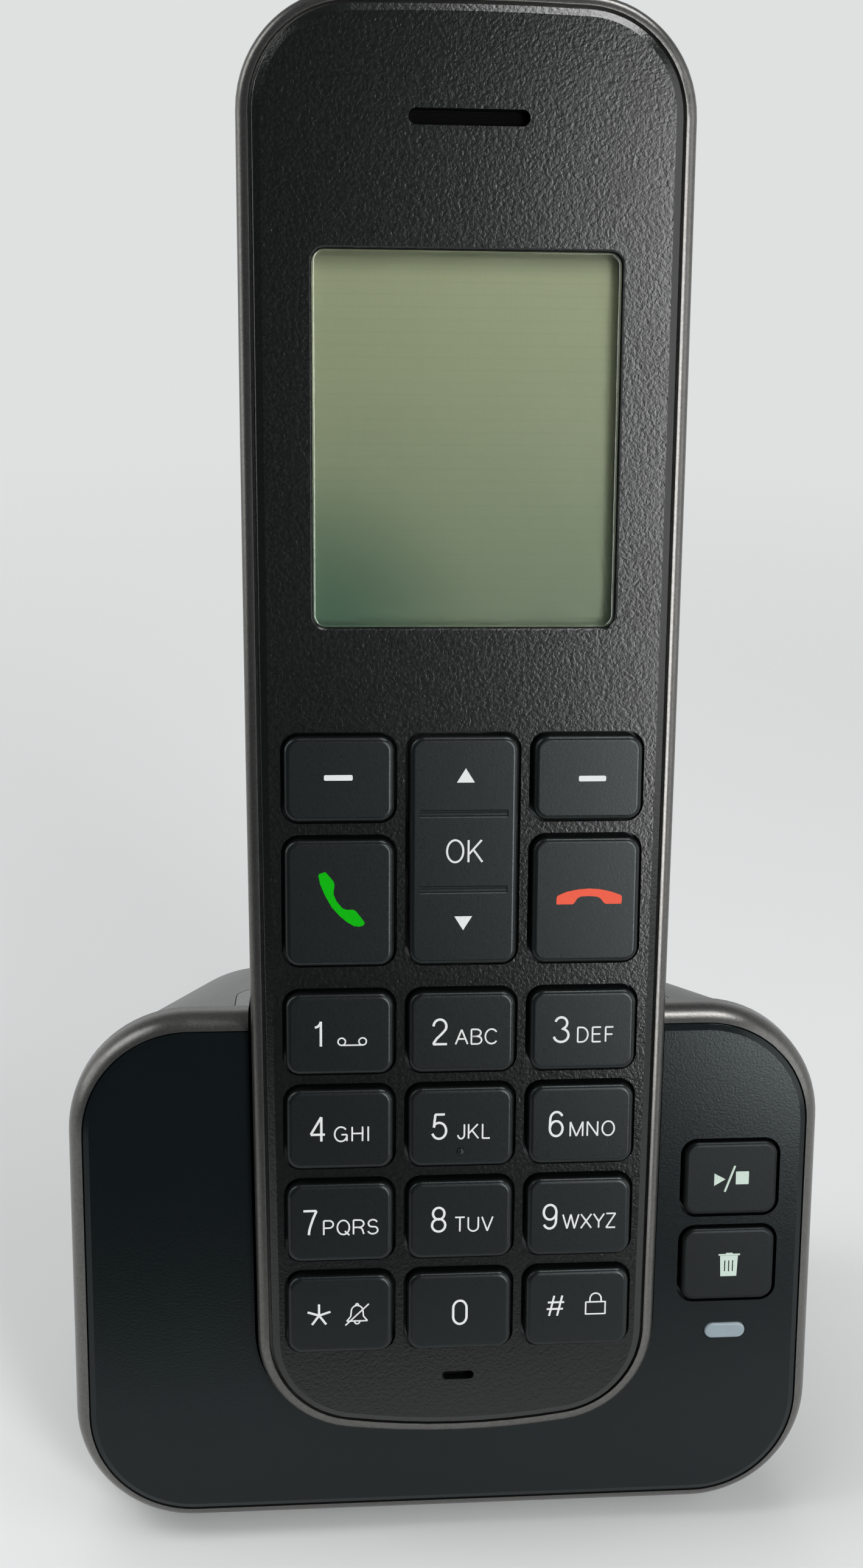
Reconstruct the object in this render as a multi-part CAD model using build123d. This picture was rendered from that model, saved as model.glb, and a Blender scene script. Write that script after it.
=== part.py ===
from build123d import *
import os
from math import cos, radians, sin

# A cordless telephone: a handset that leans in its answering machine base. Millimetres.
# The face frame has x to the right, y up the leaning face and z out of the face to the user.
# Its origin is at the foot of the handset, in the plane of the handset's face.
# In the world Z is up, the front looks along -Y, and the origin is under the middle of the part.

# Keypad of the handset
key_width = 12.1
key_height = 9.46
column_gap = 1.72
row_gap = 1.82
digit_rows = 4
key_corner = 1.6
key_rise = 1.2
key_edge_round = 0.6
key_travel = 0.7
well_gap = 0.4
flange_reach = 0.7
flange_thickness = 0.8
press_room = 0.25
talk_height = 14.4
soft_height = 9.45
function_row_gap = 2.05
groove_width = 0.9
groove_depth = 0.22
groove_margin = 1.1
tactile_dot_radius = 0.45
tactile_dot_drop = 2.9
nav_pivot_radius = 0.9
nav_plunger_depth = 5.0
nav_pivot_gap = 0.05

# Face of the handset, from its foot to its top
foot_margin = 11.8
function_gap = 3.25
window_gap = 11.85
window_height = 39.95
window_side = 7.85
window_corner = 1.4
ear_gap = 13.35
ear_top_margin = 13.0
side_margin = 4.54
ear_slot_length = 12.8
ear_slot_width = 1.7
mic_slot_length = 3.8
mic_slot_width = 1.05
mic_height = 7.9

# Outline and section of the handset
handset_depth = 24.0
foot_narrowing = 1.1
side_bulge = 0.25
top_crown = 0.8
foot_crown = 2.8
top_corner = 12.3
foot_corner = 12.0
back_round = 8.0
shell_thickness = 2.0
face_bevel_width = 0.9
face_bevel_depth = 0.5
face_lip_round = 0.25
rim_width = 1.3
rim_groove = 0.35
rim_drop = 0.7
rim_round = 1.2
rim_depth = 7.3
rim_wall = 1.9
rim_ledge = 2.6
rim_ledge_thickness = 1.2
rear_step = 0.2
rear_wall = 1.8

# Display
lens_recess = 0.1
lens_edge_round = 0.3
lens_gap = 0.1
lens_flange = 1.0
window_chamfer = 0.25
panel_margin = 0.6
panel_thickness = 2.0
holder_wall = 1.4
holder_gap = 0.1
holder_floor = 0.4

# Works of the handset
board_thickness = 1.6
board_inset = 3.1
mat_thickness = 0.8
mat_inset = 3.4
dome_radius = 2.2
ear_speaker_radius = 9.0
ear_speaker_rim = 2.2
ear_magnet_radius = 5.0
mesh_thickness = 0.4
mic_radius = 2.2
ringer_radius = 8.0
ringer_thickness = 3.5
ringer_drop = 22.0
ringer_slot_width = 1.2
ringer_slot_pitch = 2.6
ringer_slot_length = 11.0
ringer_slot_count = 5
screw_radius = 1.0
screw_head_radius = 2.1
screw_head_height = 1.5
screw_gap = 0.15
screw_post_radius = 2.2
screw_boss_radius = 3.2
screw_seat = 5.0
top_screw_drop = 11.4
top_screw_x = 15.0
foot_screw_x = 12.0

# Battery compartment
cell_diameter = 10.5
cell_length = 44.5
cell_nub_radius = 2.6
cell_nub_height = 1.1
cell_gap = 0.3
contact_room = 2.4
contact_plate = 0.4
tray_wall = 1.2
tray_floor = 1.2
tray_floor_drop = 0.4
cover_above_base = 14.0
cover_end_margin = 2.4
cover_side_gap = 0.5
cover_gap = 0.25
cover_ledge = 1.2
cover_corner = 3.0
hook_width = 6.0
hook_reach = 1.5
hook_thickness = 1.0
hook_spacing = 18.0
grip_width = 14.0
grip_pitch = 2.2
grip_rib_width = 1.0
grip_depth = 0.5
grip_ribs = 4

# Charging
pad_width = 6.0
pad_depth = 5.0
pad_thickness = 1.0
pad_spacing = 18.0
pad_from_rim = 1.5
contact_width = 3.0
contact_depth = 1.6
contact_gap = 0.1
contact_slot_gap = 0.35
contact_flange = 1.2
contact_tail = 1.6

# Base, front
lean_angle = 15.0
handset_offset = 0.9
pocket_gap = 0.35
pocket_wall = 1.6
face_above_plate = 3.0
plate_thickness = 2.2
plate_top = 49.5
plate_chin = 10.05
plate_corner = 12.3
plate_bevel_width = 0.75
plate_bevel_depth = 0.4
plate_lip_round = 0.2
ring_width = 1.8
ring_drop = 0.3
ring_round = 3.0
ring_gap = 0.1
ring_depth = 4.6
ring_ledge = 1.8
base_key_width = 11.2
base_key_height = 9.0
base_key_margin = 3.1
base_key_edge = 3.4
base_key_drop = 14.5
base_row_gap = 1.8
base_key_rise = 0.5
base_key_stem = 1.6
base_key_travel = 0.6
led_length = 4.95
led_width = 1.92
led_gap = 4.15
led_rise = 0.25
led_clearance = 0.1
key_board_thickness = 1.6
key_board_margin = 0.9
key_board_post_radius = 1.5

# Base, rear housing and underside
housing_step = 0.3
housing_wall = 2.0
housing_reach = 27.9
housing_back_height = 48.0
housing_back_half_width = 35.1
housing_back_corner = 14.0
housing_back_round = 4.0
parting_height = 6.0
foot_height = 1.0
foot_radius = 4.0
foot_recess = 0.8
foot_gap = 0.1
front_foot_inset = 8.0
rear_foot_inset = 9.0
foot_edge_margin = 6.0
speaker_radius = 13.0
speaker_height = 30.0
speaker_rim = 2.5
speaker_cone_depth = 4.5
speaker_magnet_radius = 7.0
grille_slot_width = 1.4
grille_slot_pitch = 3.2
grille_slot_count = 7
grille_margin = 2.0
main_board_thickness = 1.6
main_board_width = 39.0
main_board_depth = 20.0
main_board_stand = 1.5
main_board_gap = 1.0
main_board_post_radius = 2.0
socket_width = 12.6
socket_height = 11.4
socket_depth = 13.0
socket_spacing = 21.0
socket_mouth_width = 9.8
socket_mouth_height = 7.0
socket_mouth_depth = 9.0
socket_latch_width = 4.0
socket_latch_height = 1.8
socket_window_gap = 0.4
base_boss_radius = 3.0
base_boss_height = 9.0
base_boss_x = 24.0
boss_sink = 0.6

# Levels in the face frame, worked out from the sizes above
shell_back = -shell_thickness
flange_back = shell_back - flange_thickness
dome_top = flange_back - key_travel - press_room
lens_back = shell_back - flange_thickness
panel_front = lens_back - holder_gap - holder_gap
board_front = min(dome_top - mat_thickness, panel_front - panel_thickness - holder_floor)
board_back = board_front - board_thickness
rim_front = -rim_drop
rim_back = rim_front - rim_depth
handset_back = -handset_depth
rear_inside = handset_back + rear_step + rear_wall
tray_front = board_back - tray_floor_drop
cell_seat = tray_front - tray_floor
cell_axis = cell_seat - holder_gap - cell_diameter / 2

# Places up the handset's face
pad_pitch_x = key_width + column_gap
pad_pitch_y = key_height + row_gap
digits_top = foot_margin + digit_rows * key_height + (digit_rows - 1) * row_gap
talk_y = digits_top + function_gap + talk_height / 2
soft_y = talk_y + talk_height / 2 + function_row_gap + soft_height / 2
nav_height = talk_height + function_row_gap + soft_height
nav_y = digits_top + function_gap + nav_height / 2
window_y = soft_y + soft_height / 2 + window_gap + window_height / 2
ear_y = window_y + window_height / 2 + ear_gap
handset_length = ear_y + ear_top_margin
handset_width = 3 * key_width + 2 * column_gap + 2 * side_margin
window_width = handset_width - 2 * window_side
foot_screw_y = foot_margin - flange_reach - screw_post_radius - 2 * pocket_gap - rim_width
screw_places = [(side * top_screw_x, handset_length - top_screw_drop) for side in (-1, 1)]
screw_places += [(side * foot_screw_x, foot_screw_y) for side in (-1, 1)]

# Battery compartment on the back of the handset
cover_low = plate_top + ring_width + cover_above_base
cell_room = cell_length + cell_nub_height + 2 * contact_room
cover_length = cell_room + 2 * tray_wall + 2 * cover_end_margin
cover_width = handset_width - 2 * back_round - 2 * cover_side_gap - 2 * foot_narrowing
cover_y = cover_low + cover_length / 2
cell_pitch = cell_diameter + cell_gap
tray_width = 2 * cell_diameter + 3 * cell_gap

# Places on the base
pocket_half = handset_width / 2 + pocket_gap
base_key_x = pocket_half + base_key_margin + base_key_width / 2
plate_half = base_key_x + base_key_width / 2 + base_key_edge
plate_y = (plate_top - plate_chin) / 2
plate_height = plate_top + plate_chin
plate_face = -face_above_plate
plate_back = plate_face - plate_thickness
ring_reach = ring_round - ring_width + ring_gap
ring_fall = ring_round - (ring_round ** 2 - ring_reach ** 2) ** 0.5
ring_front = plate_face - ring_drop + ring_fall
seam = plate_face - ring_depth
play_y = plate_top - base_key_drop - base_key_height / 2
delete_y = play_y - base_key_height - base_row_gap
led_y = delete_y - base_key_height / 2 - led_gap
base_flange_back = plate_back - flange_thickness
base_stem_back = base_flange_back - base_key_stem
key_board_front = base_stem_back - base_key_travel - press_room - mat_thickness
key_board_back = key_board_front - key_board_thickness

# The leaning frame: the lowest point of the ring stands one foot height over the table
lean_cos = cos(radians(lean_angle))
lean_sin = sin(radians(lean_angle))
ring_bottom = -plate_chin - ring_width
origin_height = foot_height - ring_bottom * lean_cos - seam * lean_sin
face_plane = Plane(origin=(0, 0, origin_height), x_dir=(1, 0, 0), z_dir=(0, -lean_cos, lean_sin))
tray_back = handset_back - pocket_gap - pocket_wall
housing_back_y = housing_reach - tray_back * lean_cos - pocket_wall - seam * lean_sin
housing_inside_y = housing_back_y - housing_wall
tray_floor_top = foot_height + housing_wall
main_board_low = tray_floor_top + main_board_stand
main_board_top = main_board_low + main_board_thickness


def box_between(x_span, y_span, z_span):
    """A box between two values on each axis."""
    spans = (x_span, y_span, z_span)
    middle = [(low + high) / 2 for low, high in spans]
    size = [high - low for low, high in spans]
    return Pos(*middle) * Box(*size)


def rounded_block(x, y, width, height, corner, low, high):
    """A block with rounded corners in plan, from low to high along z."""
    return Pos(x, y, low) * extrude(RectangleRounded(width, height, corner), high - low)


def slot_block(x, y, length, width, low, high):
    """A block with full round ends, lying along x."""
    return Pos(x, y, low) * extrude(SlotOverall(length, width), high - low)


def rod(x, y, radius, low, high):
    """A round bar along z."""
    return Pos(x, y, low) * extrude(Circle(radius), high - low)


def top_edges(solid):
    """The edges round the highest face along z."""
    return solid.faces().sort_by(Axis.Z)[-1].edges()


def edges_at(solid, level):
    """The edges that lie at a level along z."""
    return solid.edges().filter_by_position(Axis.Z, level - 0.001, level + 0.001)


def in_world(shape):
    """Moves a shape from the leaning face frame into the world."""
    return face_plane.location * shape


def in_face(shape):
    """Moves a shape from the world into the leaning face frame."""
    return face_plane.location.inverse() * shape


def digit_place(index):
    """Middle of a digit key, counted from the top left key."""
    row, column = divmod(index, 3)
    x = (column - 1) * pad_pitch_x
    y = digits_top - key_height / 2 - row * pad_pitch_y
    return x, y


def key_places():
    """Every key of the handset but the navigation key: name, place and height."""
    names = [f"key_{digit}" for digit in range(1, 10)] + ["key_star", "key_0", "key_hash"]
    places = {}
    for index, name in enumerate(names):
        places[name] = (*digit_place(index), key_height)
    places["soft_key_left"] = (-pad_pitch_x, soft_y, soft_height)
    places["soft_key_right"] = (pad_pitch_x, soft_y, soft_height)
    places["talk_key"] = (-pad_pitch_x, talk_y, talk_height)
    places["end_key"] = (pad_pitch_x, talk_y, talk_height)
    return places


def base_key_places():
    """The two keys of the base."""
    return {"play_stop_key": (base_key_x, play_y), "delete_key": (base_key_x, delete_y)}


def handset_outline(inset=0.0):
    """Front outline of the handset: bowed sides, crowned ends and large corners."""
    top_half = handset_width / 2 - inset
    foot_half = top_half - foot_narrowing
    top = handset_length - inset
    shoulder = top - top_crown
    heel = inset + foot_crown
    waist = (top_half + foot_half) / 2 + side_bulge
    middle = (shoulder + heel) / 2
    foot_edge = ThreePointArc((-foot_half, heel), (0, inset), (foot_half, heel))
    right_edge = ThreePointArc((foot_half, heel), (waist, middle), (top_half, shoulder))
    top_edge = ThreePointArc((top_half, shoulder), (0, top), (-top_half, shoulder))
    left_edge = ThreePointArc((-top_half, shoulder), (-waist, middle), (-foot_half, heel))
    outline = make_face([foot_edge, right_edge, top_edge, left_edge])
    outline = fillet(outline.vertices().sort_by(Axis.Y)[:2], foot_corner - inset)
    return fillet(outline.vertices().sort_by(Axis.Y)[-2:], top_corner - inset)


def outline_block(inset, low, high):
    """The handset's outline as a block from low to high along z."""
    return Pos(0, 0, low) * extrude(handset_outline(inset), high - low)


def handset_body(inset, front):
    """The handset's rounded form behind a level, smaller or larger all round by the inset."""
    back = handset_back + inset
    body = outline_block(inset, back, front)
    back_edges = body.faces().sort_by(Axis.Z)[0].edges()
    return fillet(back_edges, back_round - inset)


def handset_rim():
    """Rounded frame round the face, with the ledge that carries the front shell."""
    rim = outline_block(0, rim_back, rim_front)
    rim = fillet(top_edges(rim), rim_round)
    rim -= outline_block(rim_width, shell_back, 0)
    ledge_back = shell_back - rim_ledge_thickness
    rim -= outline_block(rim_ledge, ledge_back, shell_back)
    return rim - outline_block(rim_wall, rim_back, ledge_back)


def is_window_edge(edge):
    """Whether an edge lies round the display window."""
    middle = edge.center()
    near_across = abs(middle.X) < window_width / 2 + window_corner
    near_along = abs(middle.Y - window_y) < window_height / 2 + window_corner
    return near_across and near_along


def handset_front_shell():
    """Black face with the window, the key wells, the slots and the screw posts."""
    shell = outline_block(rim_width + rim_groove, shell_back, 0)
    face = shell.faces().sort_by(Axis.Z)[-1]
    shell = chamfer(face.edges(), face_bevel_width, face_bevel_depth, reference=face)
    shell = fillet(edges_at(shell, -face_bevel_depth), face_lip_round)
    window = rounded_block(0, window_y, window_width, window_height, window_corner, shell_back, 0)
    shell -= window
    window_rim = edges_at(shell, 0).filter_by(is_window_edge)
    shell = chamfer(window_rim, window_chamfer)
    wells = [rounded_block(x, y, key_width + 2 * well_gap, height + 2 * well_gap,
                           key_corner + well_gap, shell_back, 0)
             for x, y, height in key_places().values()]
    wells.append(rounded_block(0, nav_y, key_width + 2 * well_gap, nav_height + 2 * well_gap,
                               key_corner + well_gap, shell_back, 0))
    wells.append(slot_block(0, ear_y, ear_slot_length, ear_slot_width, shell_back, 0))
    wells.append(slot_block(0, mic_height, mic_slot_length, mic_slot_width, shell_back, 0))
    shell -= wells
    for x, y in screw_places:
        post = rod(x, y, screw_post_radius, board_front, shell_back)
        shell += post - rod(x, y, screw_radius + screw_gap, board_front, shell_back)
    return shell


def key_cap(x, y, height):
    """A soft edged key with the flange that holds it behind the face."""
    cap = rounded_block(x, y, key_width, height, key_corner, shell_back, key_rise)
    cap = fillet(top_edges(cap), key_edge_round)
    flange = rounded_block(x, y, key_width + 2 * flange_reach, height + 2 * flange_reach,
                           key_corner + flange_reach, flange_back, shell_back)
    return cap + flange


def middle_key():
    """The key in the middle of the pad, with its raised dot."""
    x, y, height = key_places()["key_5"]
    dot = Pos(x, y - tactile_dot_drop, key_rise) * Sphere(tactile_dot_radius)
    return key_cap(x, y, height) + dot


def nav_underside():
    """Level of the navigation key's underside, above the plunger's flange."""
    return shell_back + well_gap


def nav_pivot_level():
    """Level of the axis on which the navigation key rocks."""
    return nav_underside() - nav_pivot_gap - nav_pivot_radius


def nav_key():
    """Three-way rocker key with two cross grooves."""
    key = rounded_block(0, nav_y, key_width, nav_height, key_corner, nav_underside(), key_rise)
    key = fillet(top_edges(key), key_edge_round)
    groove_radius = (groove_width ** 2 / 4 + groove_depth ** 2) / (2 * groove_depth)
    groove = Rot(0, 90, 0) * Cylinder(groove_radius, key_width - 2 * groove_margin)
    for side in (-1, 1):
        key -= Pos(0, nav_y + side * nav_height / 6, key_rise - groove_depth + groove_radius) * groove
    return key


def nav_plunger():
    """Pressed bar under the navigation key, with the ridge on which the key rocks."""
    half_width = key_width / 2 + flange_reach
    bar = box_between((-half_width, half_width),
                      (nav_y - nav_plunger_depth / 2, nav_y + nav_plunger_depth / 2),
                      (flange_back, shell_back))
    ridge = Pos(0, nav_y, nav_pivot_level()) * Rot(0, 90, 0) * Cylinder(nav_pivot_radius, key_width / 2)
    over_flange = box_between((-half_width, half_width),
                              (nav_y - nav_plunger_depth / 2, nav_y + nav_plunger_depth / 2),
                              (flange_back, key_rise))
    return bar + (ridge & over_flange)


def display_window():
    """Clear window, let into the face from behind."""
    lens = rounded_block(0, window_y, window_width - 2 * lens_gap, window_height - 2 * lens_gap,
                         window_corner - lens_gap, shell_back, -lens_recess)
    lens = fillet(top_edges(lens), lens_edge_round)
    flange = rounded_block(0, window_y, window_width + 2 * lens_flange, window_height + 2 * lens_flange,
                           window_corner + lens_flange, lens_back, shell_back)
    return lens + flange


def lcd_panel():
    """Glass of the display."""
    width = window_width + 2 * panel_margin
    height = window_height + 2 * panel_margin
    return box_between((-width / 2, width / 2), (window_y - height / 2, window_y + height / 2),
                       (panel_front - panel_thickness, panel_front))


def lcd_holder():
    """Tray that carries the display glass on the circuit board."""
    width = window_width + 2 * (panel_margin + holder_gap)
    height = window_height + 2 * (panel_margin + holder_gap)
    holder = rounded_block(0, window_y, width + 2 * holder_wall, height + 2 * holder_wall,
                           holder_wall, board_front, lens_back)
    return holder - box_between((-width / 2, width / 2), (window_y - height / 2, window_y + height / 2),
                                (panel_front - panel_thickness, lens_back))


def handset_circuit_board():
    """Main board of the handset, drilled for the screws."""
    board = outline_block(board_inset, board_back, board_front)
    holes = [rod(x, y, screw_radius + 2 * screw_gap, board_back, board_front) for x, y in screw_places]
    return board - holes


def keymat():
    """Silicone sheet on the board, with a dome under each key."""
    low = foot_margin - flange_reach
    high = soft_y + soft_height / 2 + flange_reach
    sheet = outline_block(mat_inset, board_front, board_front + mat_thickness)
    sheet &= box_between((-handset_width, handset_width), (low, high), (board_front, dome_top))
    spots = [(x, y) for x, y, height in key_places().values()]
    spots += [(0, nav_y + step * nav_height / 3) for step in (-1, 0, 1)]
    base = board_front + mat_thickness
    for x, y in spots:
        dome = Pos(x, y, (base + dome_top) / 2) * Cone(dome_radius, dome_radius / 2, dome_top - base)
        sheet += dome
    return sheet


def earpiece_speaker():
    """Receiver capsule between the face and the board."""
    basket = rod(0, ear_y, ear_speaker_radius, shell_back - ear_speaker_rim, shell_back)
    return basket + rod(0, ear_y, ear_magnet_radius, board_front, shell_back - ear_speaker_rim)


def earpiece_mesh():
    """Cloth behind the earpiece slot."""
    return slot_block(0, ear_y, ear_slot_length - 2 * lens_gap, ear_slot_width - 2 * lens_gap,
                      shell_back, shell_back + mesh_thickness)


def microphone():
    """Microphone capsule in its rubber boot, between the face and the board."""
    boot = rod(0, mic_height, mic_radius, board_front, shell_back)
    return boot - slot_block(0, mic_height, mic_slot_length, mic_slot_width / 2,
                             (board_front + shell_back) / 2, shell_back)


def ringer_y():
    """Height of the ringer up the handset."""
    return handset_length - ringer_drop


def ringer_speaker():
    """Ringer capsule on the inside of the rear shell."""
    ringer = rod(0, ringer_y(), ringer_radius, rear_inside, rear_inside + ringer_thickness / 2)
    return ringer + rod(0, ringer_y(), ringer_radius / 2, rear_inside, rear_inside + ringer_thickness)


def cover_block(gap, low, high):
    """Outline of the battery cover as a block, larger all round by the gap."""
    return rounded_block(0, cover_y, cover_width + 2 * gap, cover_length + 2 * gap,
                         cover_corner + gap, low, high)


def hook_places():
    """Middles of the two hooks at the cover's lower edge."""
    return [side * hook_spacing / 2 for side in (-1, 1)]


def battery_tray():
    """Compartment for the cells, with the ledge under the cover."""
    room_low = cover_y - cell_room / 2
    room_high = cover_y + cell_room / 2
    outer = box_between((-tray_width / 2 - tray_wall, tray_width / 2 + tray_wall),
                        (room_low - tray_wall, room_high + tray_wall), (rear_inside, tray_front))
    ledge = cover_block(rear_wall, rear_inside, rear_inside + cover_ledge)
    tray = outer + ledge
    return tray - box_between((-tray_width / 2, tray_width / 2), (room_low, room_high),
                              (rear_inside, cell_seat))


def hook_notches():
    """Room in the rear shell and the tray for the cover's hooks to swing."""
    reach = hook_reach + hook_thickness
    notches = []
    for x in hook_places():
        half = hook_width / 2 + cover_gap
        notches.append(box_between((x - half, x + half),
                                   (cover_low - reach, cover_low + 2 * reach),
                                   (rear_inside, rear_inside + 2 * reach)))
    return notches


def charge_pads():
    """Two metal pads in the foot of the rear shell."""
    skin = handset_body(rear_step, rim_back) - handset_body(rear_step + pad_thickness, rim_back)
    high = rim_back - pad_from_rim
    pads = []
    for side in (-1, 1):
        x = side * pad_spacing / 2
        span = box_between((x - pad_width / 2, x + pad_width / 2), (-foot_crown, foot_corner / 2),
                           (high - pad_depth, high))
        pads.append(skin & span)
    return pads


def handset_rear_shell():
    """Rounded back of the handset, with the battery compartment and the screw bosses."""
    outer = handset_body(rear_step, rim_back)
    cavity = handset_body(rear_step + rear_wall, rim_back)
    shell = outer - cavity
    shell -= cover_block(cover_gap, handset_back, rear_inside)
    inside = shell + battery_tray()
    inside -= hook_notches()
    for x, y in screw_places:
        boss = rod(x, y, screw_boss_radius, handset_back, board_back) & outer_with_board(outer)
        inside += boss
        inside -= rod(x, y, screw_head_radius + screw_gap, handset_back, handset_back + screw_seat)
        inside -= rod(x, y, screw_radius + screw_gap, handset_back, board_back)
    for step in range(ringer_slot_count):
        y = ringer_y() + (step - (ringer_slot_count - 1) / 2) * ringer_slot_pitch
        inside -= slot_block(0, y, ringer_slot_length, ringer_slot_width, handset_back, rear_inside)
    return inside - charge_pads()


def outer_with_board(outer):
    """The rear form carried on to the board, to trim the bosses."""
    return outer + outline_block(board_inset, rim_back, board_back)


def battery_cover():
    """Cover of the battery compartment, with hooks, and ribs for the thumb."""
    cover = cover_block(0, handset_back + rear_step, rear_inside)
    for x in hook_places():
        cover += box_between((x - hook_width / 2, x + hook_width / 2),
                             (cover_low - hook_reach, cover_low + hook_reach),
                             (rear_inside, rear_inside + hook_thickness))
    rib_y = cover_low + cover_length - 2 * cover_corner
    for step in range(grip_ribs):
        y = rib_y - step * grip_pitch
        cover -= slot_block(0, y, grip_width, grip_rib_width, handset_back,
                            handset_back + rear_step + grip_depth)
    return cover


def battery_cell(side):
    """Rechargeable cell: can and positive nub."""
    x = side * cell_pitch / 2
    low = cover_y - cell_room / 2 + contact_room
    can_end = low + cell_length
    if side < 0:
        turn, start = 90, can_end + cell_nub_height
    else:
        turn, start = -90, low
    can = Cylinder(cell_diameter / 2, cell_length, align=(Align.CENTER, Align.CENTER, Align.MIN))
    nub = Pos(0, 0, cell_length) * Cylinder(cell_nub_radius, cell_nub_height,
                                            align=(Align.CENTER, Align.CENTER, Align.MIN))
    return Pos(x, start, cell_axis) * Rot(turn, 0, 0) * (can + nub)


def battery_contacts():
    """Plates with a bump at the ends of the compartment, one for each end of each cell."""
    plates = []
    for side in (-1, 1):
        for end in (-1, 1):
            x = side * cell_pitch / 2
            wall = cover_y + end * cell_room / 2
            bump_end = wall - end * (contact_room - cell_gap)
            half = cell_nub_radius
            plate = box_between((x - half, x + half), sorted((wall, wall - end * contact_plate)),
                                (cell_axis - half, cell_seat))
            bump = box_between((x - half / 2, x + half / 2), sorted((wall, bump_end)),
                               (cell_axis - half / 2, cell_axis + half / 2))
            plates.append(plate + bump)
    return plates


def screw(x, y, seat, tip):
    """A screw along z, its head at the seat and its point at the tip."""
    head_way = 1 if tip > seat else -1
    head = rod(x, y, screw_head_radius, *sorted((seat, seat - head_way * screw_head_height)))
    return head + rod(x, y, screw_radius, *sorted((seat, tip)))


def handset_screws():
    """Four screws through the rear shell and the board into the front shell."""
    seat = handset_back + screw_seat
    return [screw(x, y, seat, shell_back - screw_gap) for x, y in screw_places]


def plate_outline(inset=0.0):
    """Front outline of the base, smaller all round by the inset."""
    outline = RectangleRounded(2 * (plate_half - inset), plate_height - 2 * inset, plate_corner - inset)
    return Pos(0, plate_y) * outline


def plate_block(inset, low, high):
    """The base's front outline as a block from low to high along z."""
    return Pos(0, 0, low) * extrude(plate_outline(inset), high - low)


def pocket(extra=0.0, front=0.0):
    """Space that the handset takes in the base behind a level, larger all round by the pocket's gap."""
    return Pos(handset_offset, 0, 0) * handset_body(-pocket_gap - extra, front)


def housing_form(inset, back_y, back_round_radius):
    """Tapered form of the rear housing: from the leaning seam to the upright back."""
    front_half = plate_half + ring_width - housing_step - inset
    front_height = plate_height + 2 * ring_width - housing_step - 2 * inset
    front_middle = plate_y - housing_step / 2
    front_place = face_plane.offset(seam).location * Pos(0, front_middle)
    front = front_place * RectangleRounded(2 * front_half, front_height, plate_corner + ring_width - inset)
    back_height = housing_back_height - foot_height - 2 * inset
    back_plane = Plane(origin=(0, back_y, (housing_back_height + foot_height) / 2),
                       x_dir=(1, 0, 0), z_dir=(0, -1, 0))
    back = back_plane.location * RectangleRounded(2 * (housing_back_half_width - inset), back_height,
                                                  housing_back_corner - inset)
    form = loft([front, back], ruled=True)
    back_edges = form.faces().sort_by(Axis.Y)[-1].edges()
    return fillet(back_edges, back_round_radius)


def housing_outside():
    """Outer form of the rear housing and the bottom tray together."""
    return housing_form(0, housing_back_y, housing_back_round)


def housing_shell():
    """The rear form hollowed out, open at the front."""
    inside = housing_form(housing_wall, housing_inside_y, housing_back_round - housing_wall / 2)
    return housing_outside() - inside


def slab(low, high):
    """A wide level layer of the world."""
    return box_between((-2 * plate_half, 2 * plate_half), (-2 * plate_half, 2 * plate_half), (low, high))


def base_bezel():
    """Rounded ring round the front plate, open at the top where the handset goes in."""
    ring = plate_block(-ring_width, seam, ring_front)
    ring = fillet(top_edges(ring), ring_round)
    ring -= plate_block(-ring_gap, plate_back, ring_front)
    ring -= plate_block(ring_ledge, seam, plate_back)
    return ring - pocket()


def handset_tray():
    """Walls of the pocket behind the front plate, trimmed to the housing's sloping top."""
    walls = pocket(pocket_wall, plate_back) - pocket()
    room = in_face(housing_outside()) + plate_block(ring_ledge + ring_gap, seam, plate_back)
    return walls & room


def contact_places():
    """Middles of the charge contacts across the base."""
    return {"charge_contact_left": handset_offset - pad_spacing / 2,
            "charge_contact_right": handset_offset + pad_spacing / 2}


def contact_level():
    """Level of the charge contacts behind the face."""
    return rim_back - pad_from_rim - pad_depth / 2


def foot_rise(x):
    """How far the crowned foot of the handset rises at a distance from the middle."""
    half = handset_width / 2 - foot_narrowing
    radius = (half * half + foot_crown * foot_crown) / (2 * foot_crown)
    return radius - (radius * radius - x * x) ** 0.5


def key_board_spots():
    """Posts for the key board on the back of the front plate."""
    low = led_y - led_gap
    high = play_y + base_key_height / 2 + base_row_gap + key_board_post_radius
    near = handset_offset + pocket_half + pocket_wall + key_board_margin + key_board_post_radius
    far = base_key_x + base_key_width / 2 - key_board_post_radius
    return [(x, y) for x in (near, far) for y in (low, high)]


def base_front_plate():
    """Black front of the base with the tray for the handset and the wells of its keys."""
    plate = plate_block(0, plate_back, plate_face)
    face = plate.faces().sort_by(Axis.Z)[-1]
    plate = chamfer(face.edges(), plate_bevel_width, plate_bevel_depth, reference=face)
    plate = fillet(edges_at(plate, plate_face - plate_bevel_depth), plate_lip_round)
    plate -= pocket()
    plate += handset_tray()
    for x, y in base_key_places().values():
        plate -= rounded_block(x, y, base_key_width + 2 * well_gap, base_key_height + 2 * well_gap,
                               key_corner + well_gap, plate_back, plate_face)
    plate -= slot_block(base_key_x, led_y, led_length + 2 * led_clearance, led_width + 2 * led_clearance,
                        plate_back, plate_face)
    for x, y in key_board_spots():
        plate += rod(x, y, key_board_post_radius, key_board_front, plate_back)
    for x in contact_places().values():
        half_width = contact_width / 2 + contact_slot_gap
        half_depth = contact_depth / 2 + contact_slot_gap
        plate -= box_between((x - half_width, x + half_width), (-2 * foot_crown, foot_crown),
                             (contact_level() - half_depth, contact_level() + half_depth))
    return plate


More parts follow.
